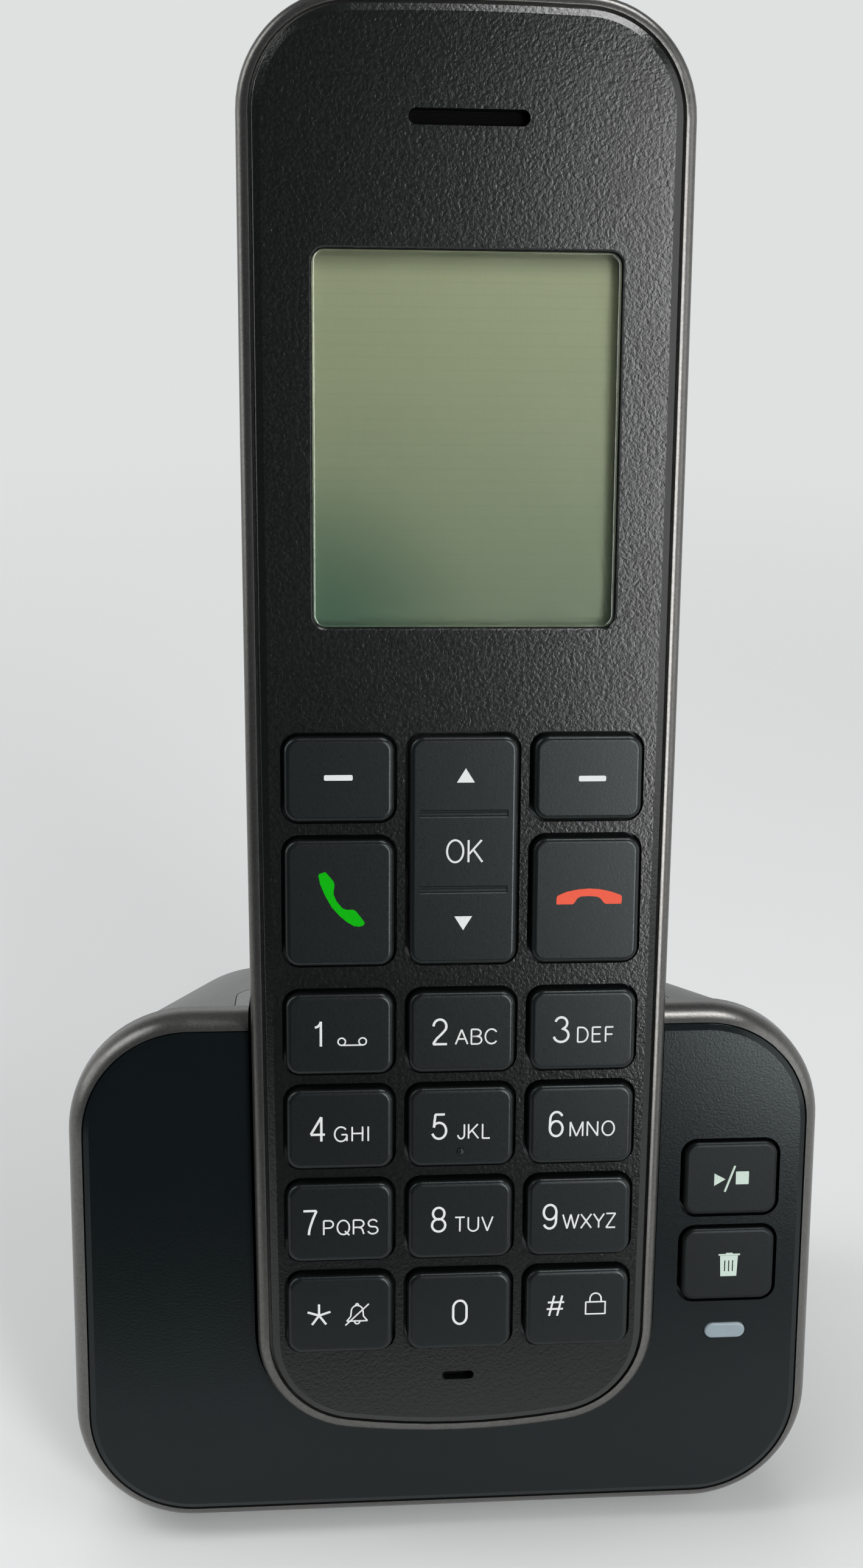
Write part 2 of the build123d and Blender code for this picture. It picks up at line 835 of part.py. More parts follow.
def base_key(x, y):
    """A key of the base, with its flange and its stem."""
    cap = rounded_block(x, y, base_key_width, base_key_height, key_corner, plate_back,
                        plate_face + base_key_rise)
    cap = fillet(top_edges(cap), min(key_edge_round, base_key_rise))
    flange = rounded_block(x, y, base_key_width + 2 * flange_reach, base_key_height + 2 * flange_reach,
                           key_corner + flange_reach, base_flange_back, plate_back)
    return cap + flange + rod(x, y, dome_radius, base_stem_back, base_flange_back)


def key_board_span():
    """The key board's corners across the base."""
    spots = key_board_spots()
    low = min(y for x, y in spots) - key_board_post_radius
    high = max(y for x, y in spots) + key_board_post_radius
    near = min(x for x, y in spots) - key_board_post_radius
    far = max(x for x, y in spots) + key_board_post_radius
    return (near, far), (low, high)


def key_board():
    """Board behind the keys and the light of the base."""
    return box_between(*key_board_span(), (key_board_back, key_board_front))


def base_key_mat():
    """Silicone sheet behind the keys of the base."""
    low = delete_y - base_key_height / 2
    high = play_y + base_key_height / 2
    half = base_key_width / 2 - key_board_post_radius
    return box_between((base_key_x - half, base_key_x + half), (low, high),
                       (key_board_front, key_board_front + mat_thickness))


def status_light_pipe():
    """Clear pill that carries the light of the key board to the front plate."""
    pill = slot_block(base_key_x, led_y, led_length, led_width, plate_back, plate_face + led_rise)
    pill = fillet(top_edges(pill), led_rise)
    flange = slot_block(base_key_x, led_y, led_length + 2 * flange_reach, led_width + 2 * flange_reach,
                        base_flange_back, plate_back)
    return pill + flange + slot_block(base_key_x, led_y, led_length, led_width,
                                      key_board_front, base_flange_back)


def charge_contact(x):
    """Sprung contact that stands in the foot of the tray under a charge pad."""
    level = contact_level()
    aside = abs(x - handset_offset)
    top = foot_rise(aside) + rear_step - contact_gap
    under = -pocket_gap - pocket_wall + foot_rise(aside - contact_width) - contact_gap
    half_width = contact_width / 2
    half_depth = contact_depth / 2
    blade = box_between((x - half_width, x + half_width), (under - contact_flange - contact_tail, top),
                        (level - half_depth, level + half_depth))
    blade = fillet(blade.faces().sort_by(Axis.Y)[-1].edges().filter_by(Axis.X), contact_depth / 3)
    flange = box_between((x - contact_width, x + contact_width), (under - contact_flange, under),
                         (level - contact_depth, level + contact_depth))
    return blade + flange


def socket_places():
    """The two sockets in the back: name and place across the base."""
    return {"line_socket": -socket_spacing / 2, "power_socket": socket_spacing / 2}


def socket_mouth(x, back_y, front_y):
    """The opening of a socket, with the notch for the plug's latch under it."""
    half = socket_mouth_width / 2
    low = main_board_top + (socket_height - socket_mouth_height) / 2
    high = low + socket_mouth_height
    latch = socket_latch_width / 2
    mouth = box_between((x - half, x + half), (front_y, back_y), (low, high))
    return mouth + box_between((x - latch, x + latch), (front_y, back_y), (low - socket_latch_height, low))


def socket_window(x):
    """Opening in the back in front of a socket, from the parting line up."""
    half = socket_mouth_width / 2 + socket_window_gap
    high = main_board_top + (socket_height + socket_mouth_height) / 2 + socket_window_gap
    return box_between((x - half, x + half), (housing_inside_y, housing_back_y), (parting_height, high))


def modular_socket(x):
    """Six-way modular socket on the main board."""
    front_y = housing_inside_y - socket_depth
    body = box_between((x - socket_width / 2, x + socket_width / 2), (front_y, housing_inside_y),
                       (main_board_top, main_board_top + socket_height))
    return body - socket_mouth(x, housing_inside_y, housing_inside_y - socket_mouth_depth)


def rear_bosses(radius, low, high):
    """Round bars along Z where the bottom tray screws to the rear housing."""
    y = housing_inside_y - base_boss_radius + boss_sink
    return [rod(side * base_boss_x, y, radius, low, high) for side in (-1, 1)]


def speaker_rod(radius, front_y, back_y):
    """A round bar along Y on the loudspeaker's axis."""
    middle = (front_y + back_y) / 2
    return Pos(0, middle, speaker_height) * Rot(90, 0, 0) * Cylinder(radius, back_y - front_y)


def grille_slots():
    """Level slots in the back, cut to a circle in front of the loudspeaker."""
    circle = speaker_rod(speaker_radius - grille_margin, housing_inside_y, housing_back_y)
    slots = []
    for step in range(grille_slot_count):
        z = speaker_height + (step - (grille_slot_count - 1) / 2) * grille_slot_pitch
        bar = box_between((-speaker_radius, speaker_radius), (housing_inside_y, housing_back_y),
                          (z - grille_slot_width / 2, z + grille_slot_width / 2))
        slots.append(bar & circle)
    return slots


def base_rear_housing():
    """Back of the base over the parting line, notched for the handset's tray."""
    shell = housing_shell() & slab(parting_height, 2 * plate_height)
    bosses = [boss & housing_outside()
              for boss in rear_bosses(base_boss_radius, parting_height, parting_height + base_boss_height)]
    shell += bosses
    shell -= rear_bosses(screw_radius + screw_gap, parting_height, parting_height + base_boss_height)
    shell -= in_world(pocket(pocket_wall + ring_gap))
    shell -= grille_slots()
    for x in socket_places().values():
        shell -= socket_window(x)
    return shell


def main_board_spots():
    """Posts for the main board in the bottom tray."""
    half = main_board_width / 2 - main_board_post_radius
    near = housing_inside_y - main_board_depth + main_board_post_radius
    far = housing_inside_y - 2 * main_board_post_radius
    return [(x, y) for x in (-half, half) for y in (near, far)]


def foot_places():
    """Middles of the rubber feet."""
    front_y = -seam * lean_cos + ring_bottom * lean_sin + front_foot_inset
    front_x = plate_half + ring_width - plate_corner - foot_edge_margin
    rear_y = housing_inside_y - rear_foot_inset
    rear_x = housing_back_half_width - housing_back_corner - foot_edge_margin / 2
    return [(side * x, y) for side in (-1, 1) for x, y in ((front_x, front_y), (rear_x, rear_y))]


def rubber_feet():
    """Four pads let into the underside."""
    return [fillet(rod(x, y, foot_radius, 0, foot_height + foot_recess).edges().sort_by(Axis.Z)[0],
                   foot_height / 3) for x, y in foot_places()]


def base_bottom_tray():
    """Underside of the base, below the parting line."""
    tray = housing_shell() & slab(0, parting_height)
    tray += [boss & housing_outside() for boss in rear_bosses(base_boss_radius, foot_height, parting_height)]
    tray += [rod(x, y, main_board_post_radius, foot_height + housing_wall / 2, main_board_low)
             for x, y in main_board_spots()]
    tray -= [rod(x, y, foot_radius + foot_gap, 0, foot_height + foot_recess) for x, y in foot_places()]
    tray -= rear_bosses(screw_radius + screw_gap, 0, parting_height)
    return tray - rear_bosses(screw_head_radius + screw_gap, 0, foot_height + 2 * screw_head_height)


def base_screws():
    """Two screws from below through the bottom tray into the rear housing."""
    y = housing_inside_y - base_boss_radius + boss_sink
    seat = foot_height + 2 * screw_head_height
    tip = parting_height + base_boss_height - 2 * screw_gap
    return [screw(side * base_boss_x, y, seat, tip) for side in (-1, 1)]


def main_board():
    """Board in the bottom tray, behind the handset's tray."""
    return box_between((-main_board_width / 2, main_board_width / 2),
                       (housing_inside_y - main_board_depth, housing_inside_y - main_board_gap),
                       (main_board_low, main_board_top))


def base_speaker():
    """Loudspeaker on the inside of the back."""
    rim_front_y = housing_inside_y - speaker_rim
    cone_front_y = rim_front_y - speaker_cone_depth
    rim = speaker_rod(speaker_radius, rim_front_y, housing_inside_y)
    basket = Pos(0, (rim_front_y + cone_front_y) / 2, speaker_height) * Rot(90, 0, 0)
    basket *= Cone(speaker_radius - grille_margin, speaker_magnet_radius, speaker_cone_depth)
    return rim + basket


def handset_parts():
    """Every node of the handset, in the face frame."""
    parts = {
        "handset_front_shell": handset_front_shell(),
        "handset_rim": handset_rim(),
        "handset_rear_shell": handset_rear_shell(),
        "battery_cover": battery_cover(),
        "display_window": display_window(),
        "lcd_panel": lcd_panel(),
        "lcd_holder": lcd_holder(),
        "handset_circuit_board": handset_circuit_board(),
        "keymat": keymat(),
        "nav_key": nav_key(),
        "nav_plunger": nav_plunger(),
        "earpiece_speaker": earpiece_speaker(),
        "earpiece_mesh": earpiece_mesh(),
        "microphone": microphone(),
        "ringer_speaker": ringer_speaker(),
        "battery_cell_left": battery_cell(-1),
        "battery_cell_right": battery_cell(1),
        "battery_contacts": battery_contacts(),
        "charge_pads": charge_pads(),
        "handset_screws": handset_screws(),
    }
    for name, place in key_places().items():
        parts[name] = key_cap(*place)
    parts["key_5"] = middle_key()
    return parts


def base_front_parts():
    """The nodes of the base that lean with the handset, in the face frame."""
    parts = {
        "base_bezel": base_bezel(),
        "base_front_plate": base_front_plate(),
        "base_key_mat": base_key_mat(),
        "key_board": key_board(),
        "status_light_pipe": status_light_pipe(),
    }
    for name, place in base_key_places().items():
        parts[name] = base_key(*place)
    for name, x in contact_places().items():
        parts[name] = charge_contact(x)
    return parts


def base_upright_parts():
    """The nodes of the base that stand upright, in the world."""
    parts = {
        "base_rear_housing": base_rear_housing(),
        "base_bottom_tray": base_bottom_tray(),
        "main_board": main_board(),
        "base_speaker": base_speaker(),
        "rubber_feet": rubber_feet(),
        "base_screws": base_screws(),
    }
    for name, x in socket_places().items():
        parts[name] = modular_socket(x)
    return parts


def as_compound(shape):
    """One shape to write, whether a node is one solid or a group of them."""
    pieces = shape if isinstance(shape, list) else [shape]
    return Compound([solid for piece in pieces for solid in piece.solids()])


def assembly():
    """Every node of the telephone, standing over the origin."""
    leaning = {name: Pos(handset_offset, 0, 0) * as_compound(shape)
               for name, shape in handset_parts().items()}
    leaning |= {name: as_compound(shape) for name, shape in base_front_parts().items()}
    nodes = {name: in_world(shape) for name, shape in leaning.items()}
    nodes |= {name: as_compound(shape) for name, shape in base_upright_parts().items()}
    boxes = [shape.bounding_box() for shape in nodes.values()]
    middle_y = (min(box.min.Y for box in boxes) + max(box.max.Y for box in boxes)) / 2
    return {name: Pos(0, -middle_y, 0) * shape for name, shape in nodes.items()}


def write_parts():
    """Writes one file for each node."""
    os.makedirs("parts", exist_ok=True)
    for name, shape in assembly().items():
        export_step(shape, f"parts/{name}.step")


if __name__ == "__main__":
    write_parts()
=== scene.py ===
import math

import bpy
from mathutils import Matrix, Vector


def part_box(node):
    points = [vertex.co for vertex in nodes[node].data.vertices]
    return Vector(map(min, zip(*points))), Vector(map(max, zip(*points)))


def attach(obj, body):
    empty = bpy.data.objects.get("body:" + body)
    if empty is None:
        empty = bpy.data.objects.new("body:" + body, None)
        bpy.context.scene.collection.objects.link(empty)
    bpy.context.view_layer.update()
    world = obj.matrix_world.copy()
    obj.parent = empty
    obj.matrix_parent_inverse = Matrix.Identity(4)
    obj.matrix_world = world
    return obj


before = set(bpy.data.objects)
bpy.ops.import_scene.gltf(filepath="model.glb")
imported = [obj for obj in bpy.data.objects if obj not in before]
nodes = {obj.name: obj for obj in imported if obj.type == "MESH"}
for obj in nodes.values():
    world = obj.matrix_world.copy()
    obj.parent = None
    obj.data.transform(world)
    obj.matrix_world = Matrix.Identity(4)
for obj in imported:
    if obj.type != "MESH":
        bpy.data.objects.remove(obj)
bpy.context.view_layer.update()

# The leaning face of the telephone: x to the right, y up the face, z out to the user. Millimetres.
MM = 0.001
LEAN = math.radians(15)
FACE_ORIGIN = Vector((0, -31.854, 14.413))
FACE_UP = Vector((0, math.sin(LEAN), math.cos(LEAN)))
FACE_OUT = Vector((0, -math.cos(LEAN), math.sin(LEAN)))

# The handset stands a little to the right of the middle of its base
HANDSET_X = 0.9
# Height of the key tops over the face, and the places of the keys and of the display window on it
KEY_TOP = 1.2
COLUMN = 13.82
ROWS = (50.37, 39.09, 27.81, 16.53)
SOFT_ROW = 79.5
TALK_ROW = 65.55
NAV_ROW = 71.3
WINDOW_LEFT, WINDOW_LOW, WINDOW_TOP = -15.6, 96.1, 136.05
# The base keys lie lower than the handset's face
BASE_KEY_TOP = -2.5
BASE_COLUMN = 33.46
PLAY_ROW = 30.5
DELETE_ROW = 19.7


def face_place(x, y, z):
    """The matrix that lays a flat drawing on the leaning face, its own origin at x, y, z."""
    spot = FACE_ORIGIN + Vector((x, 0, 0)) + FACE_UP * y + FACE_OUT * z
    turn = Matrix((Vector((1, 0, 0)), FACE_UP, FACE_OUT)).transposed().to_4x4()
    return Matrix.Translation(spot * MM) @ turn @ Matrix.Scale(MM, 4)


def linear(code):
    """A hex colour as it is seen on a screen, as linear red, green, blue and alpha."""
    parts = [int(code[i:i + 2], 16) / 255 for i in (1, 3, 5)]
    return [c / 12.92 if c <= 0.04045 else ((c + 0.055) / 1.055) ** 2.4 for c in parts] + [1.0]


def put(tree, kind, inputs=None, **settings):
    """Adds one node. An input that is a socket is linked, and any other is a value."""
    made = tree.nodes.new(kind)
    for name, value in settings.items():
        setattr(made, name, value)
    for name, value in (inputs or {}).items():
        if isinstance(value, bpy.types.NodeSocket):
            tree.links.new(value, made.inputs[name])
        else:
            made.inputs[name].default_value = value
    return made


def per_mm(size):
    """Scale of a texture whose features are this many millimetres across."""
    return 1000 / size


def surface(name, inputs):
    """A new material with one principled shader, whose inputs the caller fills from its own nodes."""
    material = bpy.data.materials.new(name)
    material.use_nodes = True
    tree = material.node_tree
    tree.nodes.clear()
    values = inputs(tree, put(tree, "ShaderNodeTexCoord").outputs["Object"])
    shader = put(tree, "ShaderNodeBsdfPrincipled", values)
    put(tree, "ShaderNodeOutputMaterial", {"Surface": shader.outputs["BSDF"]})
    return material


# Width of the faint clouds in a moulded colour, in millimetres, and how far grain moves the roughness
CLOUD = 14.0
ROUGH_SPREAD = 0.03


def moulded(name, dark, light, grain, relief, rough, shine=1.5, cast="#ffffff"):
    """Moulded plastic: grain is the width of the tool's texture and relief its depth, both in millimetres,
    and cast is the tint of its gloss."""
    def inputs(tree, place):
        texture = put(tree, "ShaderNodeTexNoise", {"Vector": place, "Scale": per_mm(grain), "Detail": 2.5,
                                                   "Roughness": 0.55, "Distortion": 0.35})
        clouds = put(tree, "ShaderNodeTexNoise", {"Vector": place, "Scale": per_mm(CLOUD), "Detail": 3.0})
        tint = put(tree, "ShaderNodeMix", {"Factor": clouds.outputs["Fac"], "A": linear(dark),
                                           "B": linear(light)}, data_type="RGBA")
        gloss = put(tree, "ShaderNodeMapRange", {"Value": texture.outputs["Fac"], "From Min": 0.3,
                                                 "From Max": 0.7, "To Min": rough - ROUGH_SPREAD,
                                                 "To Max": rough + ROUGH_SPREAD})
        bump = put(tree, "ShaderNodeBump", {"Height": texture.outputs["Fac"], "Distance": relief * MM})
        return {"Base Color": tint.outputs["Result"], "Roughness": gloss.outputs["Result"],
                "Normal": bump.outputs["Normal"], "IOR": shine, "Specular Tint": linear(cast)}
    return surface(name, inputs)


def gunmetal_paint():
    """Metallic lacquer on ABS: fine flakes in a warm grey binder, which shine softly on the round edges."""
    def inputs(tree, place):
        flakes = put(tree, "ShaderNodeTexVoronoi", {"Vector": place, "Scale": per_mm(0.22)})
        wave = put(tree, "ShaderNodeTexNoise", {"Vector": place, "Scale": per_mm(9.0), "Detail": 3.0})
        tint = put(tree, "ShaderNodeMix", {"Factor": flakes.outputs["Color"], "A": linear("#5c5b59"),
                                           "B": linear("#6c6b69")}, data_type="RGBA")
        gloss = put(tree, "ShaderNodeMapRange", {"Value": wave.outputs["Fac"], "To Min": 0.26,
                                                 "To Max": 0.34})
        bump = put(tree, "ShaderNodeBump", {"Height": flakes.outputs["Distance"], "Distance": 0.004 * MM})
        return {"Base Color": tint.outputs["Result"], "Roughness": gloss.outputs["Result"],
                "Normal": bump.outputs["Normal"], "Metallic": 0.85}
    return surface("gunmetal_lacquer_on_abs", inputs)


def clear_acrylic():
    """Cast acrylic of the display window: clear, with the faint haze of a handled surface."""
    def inputs(tree, place):
        smear = put(tree, "ShaderNodeTexNoise", {"Vector": place, "Scale": per_mm(12.0), "Detail": 4.0})
        haze = put(tree, "ShaderNodeMapRange", {"Value": smear.outputs["Fac"], "From Min": 0.4,
                                                "From Max": 0.8, "To Min": 0.02, "To Max": 0.07})
        return {"Base Color": linear("#f4f7f2"), "Roughness": haze.outputs["Result"], "IOR": 1.49,
                "Transmission Weight": 1.0}
    return surface("clear_acrylic_window", inputs)


# Reach of the painted teal reflection from the corner, where it is full and where it ends, and of the painted
# shadow under the window's upper edge, in metres
TEAL_REFLECTION_FULL, TEAL_REFLECTION_END = 0.003, 0.02
SHADE_REACH = 0.003


def display_glass():
    """Reflective liquid crystal glass: an olive polariser over a faint matrix of dots, with a painted teal
    reflection in one corner, a painted reflection that turns it darker and greener towards the bottom, and a
    painted shadow under the upper edge of the window."""
    foot = (FACE_ORIGIN.dot(FACE_UP) + WINDOW_LOW) * MM
    top = (FACE_ORIGIN.dot(FACE_UP) + WINDOW_TOP) * MM
    teal_reflection_spot = (FACE_ORIGIN + Vector((WINDOW_LEFT, 0, 0)) + FACE_UP * WINDOW_LOW) * MM

    def inputs(tree, place):
        dots = put(tree, "ShaderNodeTexBrick", {"Vector": place, "Scale": per_mm(1.0), "Mortar Size": 0.03,
                                                "Brick Width": 0.34, "Row Height": 0.34,
                                                "Color1": linear("#c6caa6"), "Color2": linear("#c5c9a5"),
                                                "Mortar": linear("#c2c6a2")}, offset=0.0)
        height = put(tree, "ShaderNodeVectorMath", {0: place, 1: FACE_UP}, operation="DOT_PRODUCT")
        # Painted reflection: the colour turns darker and greener towards the bottom of the window
        low = put(tree, "ShaderNodeMapRange", {"Value": height.outputs["Value"], "From Min": foot,
                                               "From Max": top, "To Min": 0.75, "To Max": 0.0})
        tint = put(tree, "ShaderNodeMix", {"Factor": low.outputs["Result"], "A": dots.outputs["Color"],
                                           "B": linear("#667c68")}, data_type="RGBA")
        # Painted teal reflection, strongest in the window's lower left corner
        away = put(tree, "ShaderNodeVectorMath", {0: place, 1: teal_reflection_spot}, operation="DISTANCE")
        corner = put(tree, "ShaderNodeMapRange", {"Value": away.outputs["Value"], "From Min": TEAL_REFLECTION_FULL,
                                                  "From Max": TEAL_REFLECTION_END, "To Min": 0.7, "To Max": 0.0},
                     interpolation_type="SMOOTHSTEP")
        tint = put(tree, "ShaderNodeMix", {"Factor": corner.outputs["Result"], "A": tint.outputs["Result"],
                                           "B": linear("#3c6e58")}, data_type="RGBA")
        # Painted shadow under the upper edge of the window, darkest at the top
        high = put(tree, "ShaderNodeMapRange", {"Value": height.outputs["Value"], "From Max": top,
                                                "From Min": top - SHADE_REACH, "To Max": 0.6},
                   interpolation_type="SMOOTHSTEP")
        tint = put(tree, "ShaderNodeMix", {"Factor": high.outputs["Result"], "A": tint.outputs["Result"],
                                           "B": linear("#3a3e33")}, data_type="RGBA")
        return {"Base Color": tint.outputs["Result"], "Roughness": 0.35, "IOR": 1.5}
    return surface("liquid_crystal_glass", inputs)


def solder_mask_board():
    """Glass epoxy board under green solder mask: pale copper runs show through the mask."""
    def inputs(tree, place):
        runs = put(tree, "ShaderNodeTexBrick", {"Vector": place, "Scale": per_mm(1.0), "Mortar Size": 0.12,
                                                "Brick Width": 4.0, "Row Height": 0.8,
                                                "Color1": linear("#0f4a2c"), "Color2": linear("#115131"),
                                                "Mortar": linear("#2c7a4b")})
        return {"Base Color": runs.outputs["Color"], "Roughness": 0.38, "IOR": 1.5}
    return surface("solder_masked_glass_epoxy", inputs)


def acoustic_cloth():
    """Woven polyester behind the earpiece slot: a fine grid of black threads, darker than black cloth is, as
    painted shade in the slot.
    """
    def inputs(tree, place):
        # Threads near pure black: partly the black of the cloth, partly painted shade deep in the slot
        weave = put(tree, "ShaderNodeTexBrick", {"Vector": place, "Scale": per_mm(1.0), "Mortar Size": 0.05,
                                                 "Brick Width": 0.4, "Row Height": 0.2,
                                                 "Color1": linear("#040404"), "Color2": linear("#050505"),
                                                 "Mortar": linear("#020202")})
        bump = put(tree, "ShaderNodeBump", {"Height": weave.outputs["Fac"], "Distance": 0.05 * MM},
                   invert=True)
        return {"Base Color": weave.outputs["Color"], "Roughness": 0.85, "IOR": 1.2,
                "Normal": bump.outputs["Normal"]}
    return surface("woven_acoustic_cloth", inputs)


# Height at which the cells' pale part begins, and the width of its soft edge, in metres
SLEEVE_SPLIT = 0.094
SLEEVE_EDGE = 0.0005


def cell_jacket():
    """Heat-shrunk PVC sleeve of a rechargeable cell: green below and pale above."""
    def inputs(tree, place):
        height = put(tree, "ShaderNodeSeparateXYZ", {"Vector": place})
        part = put(tree, "ShaderNodeMapRange", {"Value": height.outputs["Z"], "From Min": SLEEVE_SPLIT,
                                                "From Max": SLEEVE_SPLIT + SLEEVE_EDGE})
        tint = put(tree, "ShaderNodeMix", {"Factor": part.outputs["Result"], "A": linear("#2f7a4a"),
                                           "B": linear("#d9dcd4")}, data_type="RGBA")
        wrinkle = put(tree, "ShaderNodeTexNoise", {"Vector": place, "Scale": per_mm(2.5), "Detail": 3.0})
        bump = put(tree, "ShaderNodeBump", {"Height": wrinkle.outputs["Fac"], "Distance": 0.03 * MM})
        return {"Base Color": tint.outputs["Result"], "Roughness": 0.3, "Normal": bump.outputs["Normal"]}
    return surface("shrunk_pvc_sleeve", inputs)


# How much finer the rolling lines are up the part than across it, and how far they move the roughness
ROLLING = (1, 1, 12)
ROLLING_SPREAD = 0.08


def plated_metal(name, pale, dull, rough, line):
    """Plated sheet metal with the fine lines of its rolling, line millimetres apart."""
    def inputs(tree, place):
        stretch = put(tree, "ShaderNodeMapping", {"Vector": place, "Scale": ROLLING})
        lines = put(tree, "ShaderNodeTexNoise", {"Vector": stretch.outputs["Vector"],
                                                 "Scale": per_mm(line), "Detail": 2.0})
        tint = put(tree, "ShaderNodeMix", {"Factor": lines.outputs["Fac"], "A": linear(pale),
                                           "B": linear(dull)}, data_type="RGBA")
        gloss = put(tree, "ShaderNodeMapRange", {"Value": lines.outputs["Fac"],
                                                 "To Min": rough - ROLLING_SPREAD,
                                                 "To Max": rough + ROLLING_SPREAD})
        return {"Base Color": tint.outputs["Result"], "Roughness": gloss.outputs["Result"],
                "Metallic": 1.0}
    return surface(name, inputs)


def light_pipe():
    """Frosted polycarbonate of the status light, unlit: pale blue grey, light sinks a little way into it."""
    def inputs(tree, place):
        frost = put(tree, "ShaderNodeTexNoise", {"Vector": place, "Scale": per_mm(0.3), "Detail": 2.0})
        tint = put(tree, "ShaderNodeMix", {"Factor": frost.outputs["Fac"], "A": linear("#82939a"),
                                           "B": linear("#909fa6")}, data_type="RGBA")
        bump = put(tree, "ShaderNodeBump", {"Height": frost.outputs["Fac"], "Distance": 0.01 * MM})
        return {"Base Color": tint.outputs["Result"], "Roughness": 0.35, "IOR": 1.58,
                "Normal": bump.outputs["Normal"], "Transmission Weight": 0.15}
    return surface("frosted_polycarbonate", inputs)


def legend_ink(name, ink, worn):
    """Screen-printed ink on silicone: flat and even, a little thinner in small spots."""
    def inputs(tree, place):
        spots = put(tree, "ShaderNodeTexNoise", {"Vector": place, "Scale": per_mm(0.4), "Detail": 3.0})
        tint = put(tree, "ShaderNodeMix", {"Factor": spots.outputs["Fac"], "A": linear(ink),
                                           "B": linear(worn)}, data_type="RGBA")
        return {"Base Color": tint.outputs["Result"], "Roughness": 0.6, "IOR": 1.15}
    return surface(name, inputs)


# Spark-eroded ABS of the handset's face: a fine grain that glitters where the light grazes it. Its real grain
# of 0.2 to 0.3 mm is drawn at 0.4 mm to show
face_abs = moulded("spark_eroded_black_abs", "#0b0c0c", "#0f1010", 0.4, 0.03, 0.22)
# Finely etched ABS of the back: an even dull grain
back_abs = moulded("etched_black_abs", "#1a1b1b", "#202121", 0.3, 0.02, 0.5)
# The matte coats of the base's front and of the keys shine with a cool cast
COAT_CAST = "#f3feff"
# Polished and lightly etched ABS of the base's front: smooth blue black. Its real grain is too fine to show,
# so it is drawn at 0.25 mm
plate_abs = moulded("satin_blue_black_abs", "#0a0f10", "#0e1315", 0.25, 0.01, 0.22, 1.36,
                    COAT_CAST)
# Satin painted ABS of the rear housing: mid grey with a soft even sheen
housing_abs = moulded("satin_grey_painted_abs", "#5f5f5e", "#686867", 0.25, 0.008, 0.42)
# Silicone keys with a hard matte coat: charcoal, very fine grain
key_silicone = moulded("coated_charcoal_silicone", "#0f1212", "#141616", 0.22, 0.008, 0.3, 1.4,
                       COAT_CAST)
base_key_silicone = moulded("coated_black_silicone", "#0c0e0e", "#101211", 0.3, 0.01, 0.38, 1.3,
                            COAT_CAST)
inner_abs = moulded("plain_dark_abs", "#28292a", "#303132", 0.5, 0.01, 0.5)
mat_silicone = moulded("grey_silicone_sheet", "#b4b4ae", "#c0c0ba", 0.6, 0.01, 0.6, 1.41)
cone_paper = moulded("black_cone_paper", "#141312", "#1e1c1b", 0.5, 0.06, 0.8)
socket_pbt = moulded("black_glass_filled_pbt", "#121212", "#1a1a1a", 0.35, 0.01, 0.42, 1.55)
foot_rubber = moulded("black_foot_rubber", "#161616", "#1d1d1d", 0.4, 0.03, 0.75)
gunmetal = gunmetal_paint()
# Nickel plate on sprung bronze: bright with faint rolling lines
nickel = plated_metal("nickel_plated_bronze", "#d8d4cb", "#bdb8ae", 0.28, 0.15)
# Zinc plate on screw steel: duller and greyer
zinc = plated_metal("zinc_plated_steel", "#a9abad", "#8b8d8f", 0.38, 0.2)
# Flash gold on the sockets' sprung wires
gold = plated_metal("flash_gold_wire", "#e6c36a", "#d9b255", 0.25, 0.1)
pale_ink = legend_ink("white_legend_ink", "#dcdfde", "#d2d5d4")
green_ink = legend_ink("green_legend_ink", "#08ab0a", "#06a208")
red_ink = legend_ink("red_legend_ink", "#e45f4a", "#da5843")
lime_ink = legend_ink("pale_green_legend_ink", "#c4d4c9", "#b9c9be")

handset_keys = [f"key_{i}" for i in (0, 1, 2, 3, 4, 5, 6, 7, 8, 9, "star", "hash")]
handset_keys += ["soft_key_left", "soft_key_right", "talk_key", "end_key", "nav_key"]
finishes = [
    (face_abs, ["handset_front_shell"]),
    (back_abs, ["handset_rear_shell", "battery_cover", "base_bottom_tray"]),
    (gunmetal, ["handset_rim", "base_bezel"]),
    (plate_abs, ["base_front_plate"]),
    (housing_abs, ["base_rear_housing"]),
    (key_silicone, handset_keys),
    (base_key_silicone, ["play_stop_key", "delete_key"]),
    (inner_abs, ["nav_plunger", "lcd_holder", "microphone"]),
    (cone_paper, ["base_speaker", "earpiece_speaker", "ringer_speaker"]),
    (socket_pbt, ["line_socket", "power_socket"]),
    (mat_silicone, ["keymat", "base_key_mat"]),
    (foot_rubber, ["rubber_feet"]),
    (nickel, ["battery_contacts", "charge_pads", "charge_contact_left", "charge_contact_right"]),
    (zinc, ["handset_screws", "base_screws"]),
    (clear_acrylic(), ["display_window"]),
    (display_glass(), ["lcd_panel"]),
    (solder_mask_board(), ["handset_circuit_board", "key_board", "main_board"]),
    (acoustic_cloth(), ["earpiece_mesh"]),
    (cell_jacket(), ["battery_cell_left", "battery_cell_right"]),
    (light_pipe(), ["status_light_pipe"]),
]
for material, names in finishes:
    for name in names:
        nodes[name].data.materials.clear()
        nodes[name].data.materials.append(material)


# Legends. Drawings are in millimetres from the middle of their key, as the user sees it. The ink is this
# thick, and sinks this far into its key
INK = 0.05
SINK = 0.015
DIGIT_HEIGHT = 3.2
DIGIT_LINE = 0.29
LETTER_HEIGHT = 1.92
LETTER_LINE = 0.2
# Degrees between the points of an arc, and how near two points are the same
ARC_STEP = 12
SAME_SPOT = 1e-6


